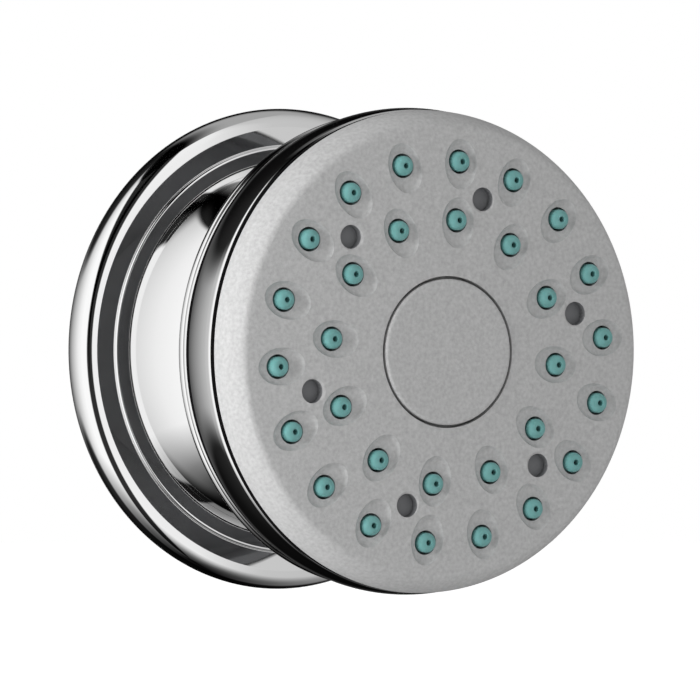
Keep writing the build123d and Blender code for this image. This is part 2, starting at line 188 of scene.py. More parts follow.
horizon = add_node(tree, "ShaderNodeValToRGB", inputs={"Fac": round_place.outputs["Result"]})
fill_ramp(horizon.color_ramp, horizon_screens, -180, 180)
band = add_node(tree, "ShaderNodeValToRGB", inputs={"Fac": height_place.outputs["Result"]})
fill_ramp(band.color_ramp, height_screens, -90, 90)
screens = add_node(
    tree, "ShaderNodeMath", {"operation": "MULTIPLY"},
    {0: horizon.outputs["Color"], 1: band.outputs["Color"]},
)
print("screen stops:", len(horizon_screens), "round the horizon,", len(height_screens), "over height")

# %% [markdown]
# Two factors shape the screens further. Dark cards high and low behind the jet blacken the bell's
# side there. The left screen ends in a slanted edge, found with a dot product against the normal of a
# plane along that edge, which makes the bright streaks on the flange end in points. It shapes only
# the screens to the left of the front.

# %% World cards
CARD_START, CARD_FULL, CARD_LEVEL = 0.2, 0.34, 0.05
EDGE_NORMAL, EDGE_LOW, EDGE_HIGH, EDGE_LEVEL = (-0.673, 0.565, -0.477), -0.17, -0.1, 0.02
FRONT_BEARING = radians(-25)

off_level = add_node(tree, "ShaderNodeMath", {"operation": "ABSOLUTE"}, {0: axes.outputs["Z"]})
far_back = add_node(
    tree, "ShaderNodeMath", {"operation": "MULTIPLY"}, {0: axes.outputs["Y"], 1: off_level.outputs[0]}
)
card = add_node(
    tree, "ShaderNodeMapRange", {"interpolation_type": "SMOOTHSTEP"},
    {
        "Value": far_back.outputs[0], "From Min": CARD_START, "From Max": CARD_FULL,
        "To Min": 1.0, "To Max": CARD_LEVEL,
    },
)
below_edge = add_node(
    tree, "ShaderNodeVectorMath", {"operation": "DOT_PRODUCT"}, {0: direction, 1: EDGE_NORMAL}
)
left_edge = add_node(
    tree, "ShaderNodeMapRange", {"interpolation_type": "SMOOTHSTEP"},
    {
        "Value": below_edge.outputs["Value"], "From Min": EDGE_LOW, "From Max": EDGE_HIGH,
        "To Min": EDGE_LEVEL,
    },
)
in_front = add_node(
    tree, "ShaderNodeMath", {"operation": "GREATER_THAN"}, {0: bearing.outputs[0], 1: FRONT_BEARING}
)
slant = add_node(
    tree, "ShaderNodeMath", {"operation": "MAXIMUM"},
    {0: left_edge.outputs["Result"], 1: in_front.outputs[0]},
)
dimmed = add_node(
    tree, "ShaderNodeMath", {"operation": "MULTIPLY"}, {0: card.outputs["Result"], 1: slant.outputs[0]}
)
shaped = add_node(
    tree, "ShaderNodeMath", {"operation": "MULTIPLY"}, {0: screens.outputs[0], 1: dimmed.outputs[0]}
)
print("cards dim the screens to", CARD_LEVEL, "and the slanted edge to", EDGE_LEVEL)

# %% [markdown]
# A grey ceiling on the right lightens the top of the rim. It is joined to the screens by taking the
# brighter of the two, so it never adds to a screen.

# %% World ceiling
CEILING_LOW, CEILING_HIGH, CEILING_LEVEL = 0.62, 0.85, 0.4
CEILING_LEFT, CEILING_RIGHT = -0.1, 0.2

overhead = add_node(
    tree, "ShaderNodeMapRange", {"interpolation_type": "SMOOTHSTEP"},
    {
        "Value": axes.outputs["Z"], "From Min": CEILING_LOW, "From Max": CEILING_HIGH,
        "To Max": CEILING_LEVEL,
    },
)
on_right = add_node(
    tree, "ShaderNodeMapRange", {"interpolation_type": "SMOOTHSTEP"},
    {"Value": axes.outputs["X"], "From Min": CEILING_LEFT, "From Max": CEILING_RIGHT},
)
ceiling = add_node(
    tree, "ShaderNodeMath", {"operation": "MULTIPLY"},
    {0: overhead.outputs["Result"], 1: on_right.outputs["Result"]},
)
mirrored = add_node(
    tree, "ShaderNodeMath", {"operation": "MAXIMUM"}, {0: shaped.outputs[0], 1: ceiling.outputs[0]}
)
print("ceiling at", CEILING_LEVEL)

# %% [markdown]
# The Light Path node sorts the rays: mirror rays see the screens, soft surfaces get one even level of
# light from all sides, and camera rays see plain white.

# %% World output
SOFT_LEVEL = 0.77
rays = add_node(tree, "ShaderNodeLightPath")
mirror_ray = add_node(
    tree, "ShaderNodeMath", {"operation": "MAXIMUM"},
    {0: rays.outputs["Is Glossy Ray"], 1: rays.outputs["Is Transmission Ray"]},
)
level = add_node(
    tree, "ShaderNodeMix", inputs={0: mirror_ray.outputs[0], 2: SOFT_LEVEL, 3: mirrored.outputs[0]}
)
seen = add_node(
    tree, "ShaderNodeMix", inputs={0: rays.outputs["Is Camera Ray"], 2: level.outputs[0], 3: 1.0}
)
sky = add_node(
    tree, "ShaderNodeBackground", inputs={"Color": linear("#FFFFFF"), "Strength": seen.outputs[0]}
)
add_node(tree, "ShaderNodeOutputWorld", inputs={"Surface": sky.outputs[0]})
print("world nodes:", len(tree.nodes))

# %% [markdown]
# ## Studio: floor and key light
# The photograph shows no floor, so a plain white one lies well below the jet and takes only a soft
# shadow. Its faint glow is for camera rays alone, so it looks white and lights nothing. Chrome mirrors
# the screens of the world, so the floor and the lamp are kept out of mirror rays.

# %% Floor
FLOOR_REACH, FLOOR_DROP, FLOOR_GLOW = 3.0, 0.13, 0.38

floor_mesh = bpy.data.meshes.new("floor")
bm = bmesh.new()
bmesh.ops.create_grid(bm, x_segments=1, y_segments=1, size=FLOOR_REACH)
bmesh.ops.translate(bm, verts=bm.verts, vec=(0, 0, -FLOOR_DROP))
bm.to_mesh(floor_mesh)
bm.free()
floor = bpy.data.objects.new("floor", floor_mesh)
bpy.context.scene.collection.objects.link(floor)
floor.visible_glossy = False

paper = bpy.data.materials.new("white_paper_floor")
paper.use_nodes = True
tree = paper.node_tree
tree.nodes.clear()
matt = add_node(tree, "ShaderNodeBsdfDiffuse", inputs={"Color": linear("#F4F4F4")})
glow = add_node(
    tree, "ShaderNodeEmission", inputs={"Color": linear("#FFFFFF"), "Strength": FLOOR_GLOW}
)
lit = add_node(tree, "ShaderNodeAddShader", inputs={0: matt.outputs[0], 1: glow.outputs[0]})
rays = add_node(tree, "ShaderNodeLightPath")
surface = add_node(
    tree, "ShaderNodeMixShader",
    inputs={"Fac": rays.outputs["Is Camera Ray"], 1: matt.outputs[0], 2: lit.outputs[0]},
)
add_node(tree, "ShaderNodeOutputMaterial", inputs={"Surface": surface.outputs[0]})
floor_mesh.materials.append(paper)
print("floor", FLOOR_DROP, "m below the axis")

# %% [markdown]
# One broad soft light stands on the left, almost in the plane of the face: it models the bevelled edge
# and the dimples, which are much paler there, and only grazes the face itself.

# %% Key light
key_data = bpy.data.lights.new("left_softbox", "AREA")
key_data.shape = "RECTANGLE"
key_data.size, key_data.size_y = 0.7, 0.6
key_data.energy = 15.5
key = bpy.data.objects.new("left_softbox", key_data)
key_stand = Vector((-1.02, -0.06, 0.06))
key.matrix_world = (key_stand - VIEW_CENTRE).to_track_quat("Z", "Y").to_matrix().to_4x4()
key.matrix_world.translation = key_stand
key.visible_glossy = False
key.visible_camera = False
bpy.context.scene.collection.objects.link(key)
print("key light", key_data.energy, "W")

# %% [markdown]
# ## Materials: chrome
# Polished chrome plate is a metal with a very low roughness. Real plating is never perfectly even,
# so a soft noise moves its roughness a little. Every material starts from the same function, which
# also gives the Object coordinates, so that a pattern keeps its size in metres.

# %% Chrome
def new_finish(name):
    """Empty node material with its shader, its Object coordinates and its tree."""
    finish = bpy.data.materials.new(name)
    finish.use_nodes = True
    tree = finish.node_tree
    tree.nodes.clear()
    shader = add_node(tree, "ShaderNodeBsdfPrincipled")
    add_node(tree, "ShaderNodeOutputMaterial", inputs={"Surface": shader.outputs[0]})
    return finish, tree, shader, add_node(tree, "ShaderNodeTexCoord").outputs["Object"]


chrome, tree, shader, place = new_finish("polished_chrome_plate")
shader.inputs["Base Color"].default_value = linear("#F0F0F0")
shader.inputs["Metallic"].default_value = 1.0
haze = add_node(
    tree, "ShaderNodeTexNoise", inputs={"Vector": place, "Scale": per_metre(14), "Detail": 3.0}
)
polish = add_node(
    tree, "ShaderNodeMapRange",
    inputs={
        "Value": haze.outputs["Fac"], "From Min": 0.3, "From Max": 0.7, "To Min": 0.02, "To Max": 0.06,
    },
)
tree.links.new(polish.outputs["Result"], shader.inputs["Roughness"])
print("finish:", chrome.name)

# %% [markdown]
# ## Materials: satin face
# The face is moulded plastic with a fine satin grain: a dielectric with a wide gloss, where the grain
# is a bump that repeats about every quarter of a millimetre. That is coarser than the real grain, which
# would vanish at this picture size. A second, larger noise makes the tone slightly cloudy.

# %% Satin face
satin, tree, shader, place = new_finish("satin_moulded_face")
grain = add_node(
    tree, "ShaderNodeTexNoise", inputs={"Vector": place, "Scale": per_metre(0.25), "Detail": 2.0}
)
clouds = add_node(
    tree, "ShaderNodeTexNoise", inputs={"Vector": place, "Scale": per_metre(0.6), "Detail": 4.0}
)
tone = add_node(
    tree, "ShaderNodeMix", {"data_type": "RGBA"},
    {0: clouds.outputs["Fac"], 6: linear("#8B8B8B"), 7: linear("#B9B9B9")},
)
tree.links.new(tone.outputs[2], shader.inputs["Base Color"])
gloss = add_node(
    tree, "ShaderNodeMapRange",
    inputs={"Value": grain.outputs["Fac"], "To Min": 0.38, "To Max": 0.52},
)
tree.links.new(gloss.outputs["Result"], shader.inputs["Roughness"])
bump = add_node(
    tree, "ShaderNodeBump",
    inputs={"Height": grain.outputs["Fac"], "Strength": 0.5, "Distance": 0.05 * MM},
)
tree.links.new(bump.outputs["Normal"], shader.inputs["Normal"])
print("finish:", satin.name)

# %% [markdown]
# ## Materials: silicone
# The nozzles are soft silicone: a little light enters them and comes out again, which subsurface
# scattering gives. Without it they would look like hard plastic. The light reaches less than half a
# millimetre, because the nozzles are so small.

# %% Silicone
silicone, tree, shader, place = new_finish("teal_silicone")
milk = add_node(
    tree, "ShaderNodeTexNoise", inputs={"Vector": place, "Scale": per_metre(1.2), "Detail": 3.0}
)
tone = add_node(
    tree, "ShaderNodeMix", {"data_type": "RGBA"},
    {0: milk.outputs["Fac"], 6: linear("#588883"), 7: linear("#6CA1A1")},
)
tree.links.new(tone.outputs[2], shader.inputs["Base Color"])
shader.inputs["Roughness"].default_value = 0.4
shader.inputs["IOR"].default_value = 1.41
shader.inputs["Subsurface Weight"].default_value = 0.25
shader.inputs["Subsurface Radius"].default_value = (0.5, 1.0, 0.9)
shader.inputs["Subsurface Scale"].default_value = 0.4 * MM
skin = add_node(
    tree, "ShaderNodeTexNoise", inputs={"Vector": place, "Scale": per_metre(0.3), "Detail": 2.0}
)
bump = add_node(
    tree, "ShaderNodeBump",
    inputs={"Height": skin.outputs["Fac"], "Strength": 0.1, "Distance": 0.03 * MM},
)
tree.links.new(bump.outputs["Normal"], shader.inputs["Normal"])
print("finish:", silicone.name)

# %% [markdown]
# ## Materials: brass and steel
# These pieces are turned, so fine rings run round the spray axis and change the roughness. A wave
# texture draws rings round its own Z, so the coordinates are first turned by a quarter. One function
# serves both metals, which differ in colour, in the spacing of the rings and in gloss.

# %% Turned metals
WAVE_RATE = 20  # radians that a wave texture runs through per unit


def turned_metal(name, pale, dark, ring_mm, smooth, rough):
    """Turned metal: tool marks run in rings round the spray axis, with a slightly uneven colour."""
    finish, tree, shader, place = new_finish(name)
    shader.inputs["Metallic"].default_value = 1.0
    flat = add_node(
        tree, "ShaderNodeMapping", inputs={"Vector": place, "Rotation": (pi / 2, 0, 0)}
    )
    marks = add_node(
        tree, "ShaderNodeTexWave", {"wave_type": "RINGS", "rings_direction": "Z"},
        {
            "Vector": flat.outputs["Vector"], "Scale": per_metre(ring_mm) / WAVE_RATE,
            "Distortion": 1.5, "Detail": 3.0,
        },
    )
    patina = add_node(
        tree, "ShaderNodeTexNoise", inputs={"Vector": place, "Scale": per_metre(5), "Detail": 4.0}
    )
    tone = add_node(
        tree, "ShaderNodeMix", {"data_type": "RGBA"},
        {0: patina.outputs["Fac"], 6: linear(dark), 7: linear(pale)},
    )
    tree.links.new(tone.outputs[2], shader.inputs["Base Color"])
    sheen = add_node(
        tree, "ShaderNodeMapRange",
        inputs={"Value": marks.outputs["Fac"], "To Min": smooth, "To Max": rough},
    )
    tree.links.new(sheen.outputs["Result"], shader.inputs["Roughness"])
    return finish


brass = turned_metal("turned_brass", "#D9BC7A", "#C4A25C", 0.5, 0.22, 0.38)
steel = turned_metal("turned_stainless_steel", "#B9BABC", "#9FA1A4", 0.3, 0.25, 0.4)
print("turned finishes:", brass.name, steel.name)

# %% [markdown]
# ## Materials: acetal, rubber and painted shade
# Moulded pieces differ in colour, gloss and grain, so one function with those values serves them all.
# A darker grey is painted shade in recesses. A near-black is painted shade and a painted dark
# reflection in the groove and the front lip, and loses most of its own reflection, so it hardly mirrors
# anything.

# %% Moulded plastic and rubber
def moulded(name, pale, dark, rough, grain_mm, depth_mm):
    """Moulded plastic or rubber: uneven tone and a fine grain."""
    finish, tree, shader, place = new_finish(name)
    clouds = add_node(
        tree, "ShaderNodeTexNoise", inputs={"Vector": place, "Scale": per_metre(3), "Detail": 3.0}
    )
    tone = add_node(
        tree, "ShaderNodeMix", {"data_type": "RGBA"},
        {0: clouds.outputs["Fac"], 6: linear(dark), 7: linear(pale)},
    )
    tree.links.new(tone.outputs[2], shader.inputs["Base Color"])
    shader.inputs["Roughness"].default_value = rough
    grain = add_node(
        tree, "ShaderNodeTexNoise", inputs={"Vector": place, "Scale": per_metre(grain_mm)}
    )
    bump = add_node(
        tree, "ShaderNodeBump",
        inputs={"Height": grain.outputs["Fac"], "Strength": 0.3, "Distance": depth_mm * MM},
    )
    tree.links.new(bump.outputs["Normal"], shader.inputs["Normal"])
    return finish


acetal = moulded("moulded_acetal", "#ECEAE3", "#DEDCD4", 0.42, 0.4, 0.02)
rubber = moulded("moulded_black_rubber", "#262627", "#171718", 0.65, 0.3, 0.05)
# A darker grey for the bell's bore, the posts, the well walls and the plugs: painted shade in these
# recesses.
shade_grey_bore = moulded("painted_shade_grey", "#727375", "#646567", 0.6, 0.5, 0.03)
# Near-black painted shade and painted dark reflection for the bell's groove and front lip.
shade_black = moulded("painted_shade_black", "#111112", "#0A0A0B", 0.8, 0.5, 0.03)
shade_black.node_tree.nodes["Principled BSDF"].inputs["Specular IOR Level"].default_value = 0.15
print("moulded finishes:", acetal.name, rubber.name, shade_grey_bore.name, shade_black.name)

# %% [markdown]
# ## How the turned shells are drawn
# Every chrome shell here was turned or spun on an axis. So each one starts as a half outline in the
# plane of radius and depth: straight lines are extruded vertices, arcs are a vertex spun about the
# arc's centre, and corners are rounded with a vertex bevel. Depth is measured from the wall, so depth
# 10 lies at Y = -10 mm.

# %% Outline helpers
CORNER_STEPS = 6
WELD = 0.001 * MM


def spot(radius, depth):
    """Point of an outline, from a radius and a depth in millimetres."""
    return Vector((radius, -depth, 0)) * MM


def draw_outline(bm, start, *moves):
    """Draws an outline with a pen: a pair is a line to (radius, depth), four values are an arc about
    (radius, depth) by degrees in steps, where positive degrees turn from the radius to the depth."""
    pen = bmesh.ops.create_vert(bm, co=spot(*start))["vert"][0]
    for move in moves:
        if len(move) == 2:
            pen = bmesh.ops.extrude_vert_indiv(bm, verts=[pen])["verts"][0]
            pen.co = spot(*move)
        else:
            radius, depth, angle, steps = move
            made = bmesh.ops.spin(
                bm, geom=[pen], cent=spot(radius, depth), axis=(0, 0, -1), angle=radians(angle),
                steps=steps,
            )
            pen = [item for item in made["geom_last"] if isinstance(item, bmesh.types.BMVert)][0]
    bmesh.ops.remove_doubles(bm, verts=bm.verts, dist=WELD)


def draw_ring(bm, inner, outer, rear, front):
    """Draws the square outline of a ring, or of a disc where the inner radius is 0."""
    moves = [(outer, rear), (outer, front), (inner, front)]
    if inner > 0:
        moves.append((inner, rear))
    draw_outline(bm, (inner, rear), *moves)


def round_corners(bm, *corners):
    """Rounds outline corners, each given as radius, depth and the length cut back along its sides."""
    for radius, depth, cut in corners:
        corner = min(bm.verts, key=lambda vert: (vert.co - spot(radius, depth)).length)
        bmesh.ops.bevel(
            bm, geom=[corner], offset=cut * MM, offset_type="OFFSET", segments=CORNER_STEPS,
            profile=0.5, affect="VERTICES", material=-1,
        )


print("corners are rounded in", CORNER_STEPS, "steps")

# %% [markdown]
# One full spin about the spray axis turns an outline into a solid. A second function makes that an
# object with its finishes and ties it to the frame: the body it moves with and the CAD nodes it stands
# for.

# %% Turning and finishing helpers
TURN_STEPS = 192


def turn_outline(bm, steps=TURN_STEPS):
    """Turns the outline once round the spray axis and closes the seam and the poles."""
    bmesh.ops.spin(
        bm, geom=bm.verts[:] + bm.edges[:], cent=(0, 0, 0), axis=(0, 1, 0), angle=2 * pi, steps=steps,
        use_merge=True,
    )
    bmesh.ops.remove_doubles(bm, verts=bm.verts, dist=WELD)
    bmesh.ops.recalc_face_normals(bm, faces=bm.faces)


def finish_piece(bm, name, finishes, slot, body, *nodes, sharp=32):
    """Makes the bmesh a smooth object that rides on a body and stands for any CAD nodes named."""
    mesh = bpy.data.meshes.new(name)
    bm.to_mesh(mesh)
    bm.free()
    for finish in finishes:
        mesh.materials.append(finish)
    mesh.shade_smooth()
    mesh.set_sharp_from_angle(angle=radians(sharp))
    piece = bpy.data.objects.new(name, mesh)
    bpy.context.scene.collection.objects.link(piece)
    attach(piece, body)
    if nodes:
        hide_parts(*nodes)
    print(name, len(mesh.polygons), "faces")
    return piece


def even_normals(piece):
    """Lets the large faces set the shading next to small roundings, so mirrors stay true."""
    weighted = piece.modifiers.new("even_normals", "WEIGHTED_NORMAL")
    weighted.keep_sharp = True


print("a full turn has", TURN_STEPS, "steps")

# %% [markdown]
# ## Wall flange
# The flange is a pressed cover plate. Its rim rolls over in one arc that is widest a little above the
# wall and ends in a short cone, and a low collar surrounds the neck. The mirrored streaks depend on
# that curve, so it is a true arc, spun in many small steps.

# %% Wall flange
flange_radius, flange_height, flange_wall = 40.42, 5.2, 1.4
rim_round, cone_width, cone_lean = 3.35, 0.82, 18.5
collar_radius, collar_top, collar_bore = 34.2, 5.9, 31.6
ledge_depth, ledge_bore, ledge_back = 2.0, 29.1, 0.6
collar_foot, underside = 33.3, 3.8

rim_centre = flange_radius - rim_round
cone_top = rim_centre + rim_round * sin(radians(cone_lean)) - cone_width
cone_foot_depth = flange_height - cone_width * tan(radians(cone_lean))
rim_centre_depth = cone_foot_depth - rim_round * cos(radians(cone_lean))
rim_tuck = degrees(asin(rim_centre_depth / rim_round))
rim_foot = rim_centre + rim_round * cos(radians(rim_tuck))

bm = bmesh.new()
draw_outline(
    bm,
    (rim_foot, 0),
    (rim_centre, rim_centre_depth, rim_tuck + 90 - cone_lean, 40),
    (cone_top, flange_height),
    (collar_radius, flange_height),
    (collar_radius, collar_top),
    (collar_bore, collar_top),
    (collar_bore, ledge_depth),
    (ledge_bore, ledge_depth),
    (ledge_bore, ledge_back),
    (collar_foot, ledge_back),
    (collar_foot, underside),
    (flange_radius - flange_wall, underside),
    (flange_radius - flange_wall, 0),
    (rim_foot, 0),
)
round_corners(
    bm,
    (collar_radius, collar_top, 0.5),
    (collar_radius, flange_height, 0.15),
    (collar_bore, collar_top, 0.2),
    (flange_radius - flange_wall, underside, 1.9),
    (cone_top, flange_height, 0.08),
)
turn_outline(bm)
flange_shell = finish_piece(bm, "flange_shell", [chrome], "chrome", "wall_base", "wall_flange")
even_normals(flange_shell)

# %% [markdown]
# ## Neck
# The neck leaves the collar straight, then closes in as a zone of a sphere, which is why the whole of
# it mirrors one bright screen, and runs on as a narrower tube to the ring nut. The outer and the
# inner wall are arcs about the same centre, so the shell keeps its thickness all along.

# %% Neck
neck_radius, neck_wall, neck_front, neck_hole, neck_end = 31.5, 1.3, 36.4, 18.85, 34.9
neck_root, neck_lean, throat_radius = 5.95, 20.0, 22.5

dome_reach = neck_radius / cos(radians(neck_lean))
dome_centre = neck_root - dome_reach * sin(radians(neck_lean))
throat_turn = degrees(acos(throat_radius / dome_reach))
inner_reach = dome_reach - neck_wall
neck_bore, throat_bore = neck_radius - neck_wall, throat_radius - neck_wall
bore_lean = degrees(acos(neck_bore / inner_reach))
bore_turn = degrees(acos(throat_bore / inner_reach))
throat_depth = dome_centre + dome_reach * sin(radians(throat_turn))
bore_depth = dome_centre + inner_reach * sin(radians(bore_turn))

bm = bmesh.new()
draw_outline(
    bm,
    (neck_radius, ledge_depth),
    (neck_radius, neck_root),
    (0, dome_centre, throat_turn - neck_lean, 40),
    (throat_radius, neck_front),
    (neck_hole, neck_front),
    (neck_hole, neck_end),
    (throat_bore, neck_end),
    (throat_bore, bore_depth),
    (0, dome_centre, bore_lean - bore_turn, 24),
    (neck_bore, ledge_depth),
    (neck_radius, ledge_depth),
)
round_corners(
    bm,
    (neck_radius, neck_root, 0.1),
    (throat_radius, throat_depth, 0.3),
    (throat_radius, neck_front, 0.8),
    (neck_hole, neck_front, 0.2),
)
turn_outline(bm)
neck_dome = finish_piece(bm, "neck_dome", [chrome], "chrome", "wall_base", "neck_sleeve")
even_normals(neck_dome)
print("neck dome", round(dome_reach, 2), "mm about depth", round(dome_centre, 2))

# %% [markdown]
# ## Bell housing
# The head's housing has a barrelled side, a groove and a double bead at its rear: a round bead and a
# smaller lip that meet where their circles cross. The side is one arc, widest in its middle, spun with
# many steps, because a mirror shows every flat. Its first step is longer, to leave room for the
# rounding of the front edge. Inside are the web, the hub and six posts for the face screws.

# %% Bell housing
bell_radius, bell_front, bell_rear, side_bulge = 39.85, 46.1, 34.6, 0.4
bead_centre, bead_depth, bead_round, side_rear = 38.2, 35.4, 0.8, 39.2
lip_depth, lip_round, lip_cut = 36.35, 0.6, 40.0
skirt_bore, web_rear, web_front, cavity_radius = 36.7, 42.5, 44.0, 38.0
hub_bore, hub_radius, hub_front = 6.05, 9.5, 45.5
groove_bottom, side_first_step = (37.5, 37.7), 1.2

half_side = (bell_front - side_rear) / 2
side_middle = (bell_front + side_rear) / 2
side_curve = (side_bulge**2 + half_side**2) / (2 * side_bulge)
side_turn = degrees(asin(half_side / side_curve))
side_end_radius = bell_radius - side_bulge
side_lead = degrees(side_first_step / side_curve)
lip_edge = bead_centre + lip_round * sin(radians(lip_cut))
lip_front = lip_depth + lip_round * cos(radians(lip_cut))
bead_gap = lip_depth - bead_depth
crossing = (bead_gap**2 + bead_round**2 - lip_round**2) / (2 * bead_gap)
bead_start = degrees(acos(crossing / bead_round))
lip_end = 180 - degrees(acos((bead_gap - crossing) / lip_round))

bm = bmesh.new()
draw_outline(
    bm,
    (cavity_radius, bell_front),
    (side_end_radius, bell_front),
    (bell_radius - side_curve, side_middle, -side_lead, 1),
    (bell_radius - side_curve, side_middle, side_lead - 2 * side_turn, 36),
    groove_bottom,
    (lip_edge, lip_front),
    (bead_centre, lip_depth, lip_cut - lip_end, 16),
    (bead_centre, bead_depth, bead_start - 180, 24),
    (skirt_bore, bell_rear),
    (skirt_bore, web_rear),
    (hub_bore, web_rear),
    (hub_bore, hub_front),
    (hub_radius, hub_front),
    (hub_radius, web_front),
    (cavity_radius, web_front),
    (cavity_radius, bell_front),
)
round_corners(
    bm,
    (side_end_radius, bell_front, 0.6),
    (*groove_bottom, 0.3),
    (skirt_bore, bell_rear, 0.2),
    (skirt_bore, web_rear, 1.5),
)
turn_outline(bm)
print("bell side curve", round(side_curve, 2), "mm over", round(2 * side_turn, 2), "degrees")

# %% [markdown]
# The bore and the parts inside the bead take a dull grey that is painted shade, and the narrow groove
# and the front lip take a near-black that is painted shade. Separate objects would leave seams, so one
# mesh carries three finishes, and each face knows its own by the number of a material slot.

# %% Bell finishes
COATED, SHADE_GREY, SHADE_BLACK = 0, 1, 2
shaded_lip_depth, finish_margin = 0.14, 0.1


def bell_finish(face):
    """Material slot of a face of the bell, from where it lies."""
    centre = face.calc_center_median()
    radius, depth = Vector((centre.x, centre.z)).length / MM, -centre.y / MM
    in_groove = lip_front < depth < side_rear and radius > skirt_bore + finish_margin
    # Near-black painted shade for the groove and the front lip; grey painted shade for the bore inside
    # the bead.
    if in_groove or depth > bell_front - shaded_lip_depth:
        return SHADE_BLACK
    return COATED if radius > bead_centre - finish_margin else SHADE_GREY


for face in bm.faces:
    face.material_index = bell_finish(face)
print("painted shade faces", sum(face.material_index != COATED for face in bm.faces), "of", len(bm.faces))

# %% [markdown]
# The six posts stand on the web at the places of the screw wells. Each is a small turned cup with a
# pilot hole, copied round the axis. The rings of the head start at a small angle, because the head
# stands slightly turned in the photograph.

# %% Screw posts
HEAD_TURN = -4.9
screw_ring, screw_count, screw_phase = 25.7, 6, 20.0
post_radius, post_bore, post_floor, post_top = 4.2, 2.95, 46.4, 47.8
pilot_radius = 1.03


def ring_angles(count, phase):
    """Angles of evenly spaced copies round the head, in radians, from a first angle in degrees."""
    return [radians(HEAD_TURN + phase + number * 360 / count) for number in range(count)]


def place_copies(bm, source, ring_radius, count, phase):
    """Moves a small turned shape out to a ring and copies it round the spray axis."""
    scratch = bpy.data.meshes.new("scratch")
    for angle in ring_angles(count, phase):
        copy = source.copy()
        around = Matrix.Rotation(-angle, 3, "Y")
        bmesh.ops.rotate(copy, verts=copy.verts, cent=(0, 0, 0), matrix=around)
        shift = Vector((cos(angle), 0, sin(angle))) * ring_radius * MM
        bmesh.ops.translate(copy, verts=copy.verts, vec=shift)
        copy.to_mesh(scratch)
        copy.free()
        bm.from_mesh(scratch)
    bpy.data.meshes.remove(scratch)


post = bmesh.new()
draw_outline(
    post,
    (post_radius, web_front),
    (post_radius, post_top),
    (post_bore, post_top),
    (post_bore, post_floor),
    (pilot_radius, post_floor),
    (pilot_radius, web_front),
    (post_radius, web_front),
)
turn_outline(post, steps=32)
# The posts take the darker grey, painted shade inside the bell.
for face in post.faces:
    face.material_index = SHADE_GREY
place_copies(bm, post, screw_ring, screw_count, screw_phase)
post.free()
bell_shell = finish_piece(
    bm, "bell_shell", [chrome, shade_grey_bore, shade_black], "chrome", "spray_head", "bell_housing"
)
even_normals(bell_shell)

# %% [markdown]
# ## Spray face: the plate
# The face is a shallow dome with a broad curved edge, one arc that leaves the rim along the axis. It
# starts as a turned plate with many fine rings, so that the dome shades smoothly. The two arcs meet at
# the shoulder, where the steps are longer, to leave room for its rounding. The pocket for the centre
# cap is part of the outline.

# %% Face plate before cutting
cap_pole, face_pole, dome_radius = 55.35, 55.15, 348.8
face_radius, shoulder_radius, rim_depth, rim_land = 39.4, 37.07, 47.0, 0.3
face_skirt_radius, face_skirt_bore, face_skirt_end, face_inside = 37.9, 36.2, 45.0, 50.5
pocket_radius, pocket_floor, peg_hole, peg_floor = 12.33, 52.95, 2.53, 51.55
dome_stop, bevel_first_step = 1.8, 0.8


def dome_depth(radius):
    """Depth of the domed face at a distance from its pole."""
    return face_pole - dome_radius + sqrt(dome_radius**2 - radius**2)


def dome_arc(inner, outer, steps):
    """Arc of the dome between two radii, as a move of the pen."""
    turn = degrees(asin(outer / dome_radius) - asin(inner / dome_radius))
    return (0, face_pole - dome_radius, -turn, steps)


shoulder_depth = dome_depth(shoulder_radius)
bevel_drop = face_radius - shoulder_radius
bevel_rise = shoulder_depth - rim_depth - rim_land
bevel_curve = (bevel_drop**2 + bevel_rise**2) / (2 * bevel_drop)
bevel_turn = degrees(asin(bevel_rise / bevel_curve))
shoulder_lead = shoulder_radius - dome_stop
bevel_lead = degrees(bevel_first_step / bevel_curve)

plate_bm = bmesh.new()
draw_outline(
    plate_bm,
    (0, peg_floor),
    (peg_hole, peg_floor),
    (peg_hole, pocket_floor),
    (pocket_radius, pocket_floor),
    (pocket_radius, dome_depth(pocket_radius)),
    dome_arc(pocket_radius, shoulder_lead, 44),
    (shoulder_radius, shoulder_depth),
    (face_radius - bevel_curve, rim_depth + rim_land, -bevel_lead, 1),
    (face_radius - bevel_curve, rim_depth + rim_land, bevel_lead - bevel_turn, 24),
    (face_radius - rim_land, rim_depth),
    (face_skirt_radius, rim_depth),
    (face_skirt_radius, face_skirt_end),
    (face_skirt_bore, face_skirt_end),
    (face_skirt_bore, face_inside),
    (0, face_inside),
)
round_corners(
    plate_bm,
    (shoulder_radius, shoulder_depth, 0.55),
    (pocket_radius, dome_depth(pocket_radius), 0.06),
)
turn_outline(plate_bm, steps=240)
print("plate faces", len(plate_bm.faces))

# %% [markdown]
# ## Spray face: cutters
# Each nozzle sits in a dimple that reaches towards the middle of the face. Its floor is almost flat
# and its edge is steeper, so light from the left draws a pale crescent on its right. The cutter is a
# turned dish that is stretched along the radius. Round drills make the nozzle holes. Every cutter
# reaches past the surfaces it cuts, so that no two faces coincide.

# %% Dimples and nozzle holes
outer_ring, outer_count, outer_phase = 31.1, 18, 10.0
inner_ring, inner_count, inner_phase = 21.5, 12, 0.0
dimple_long, dimple_wide, dimple_inset = 4.2, 3.05, 0.42
dimple_depth, dimple_edge, dimple_rim, dimple_round = 0.65, 0.4, 0.52, 0.3
nozzle_hole, overcut = 2.0, 1
nozzle_rings = [(outer_ring, outer_count, outer_phase), (inner_ring, inner_count, inner_phase)]


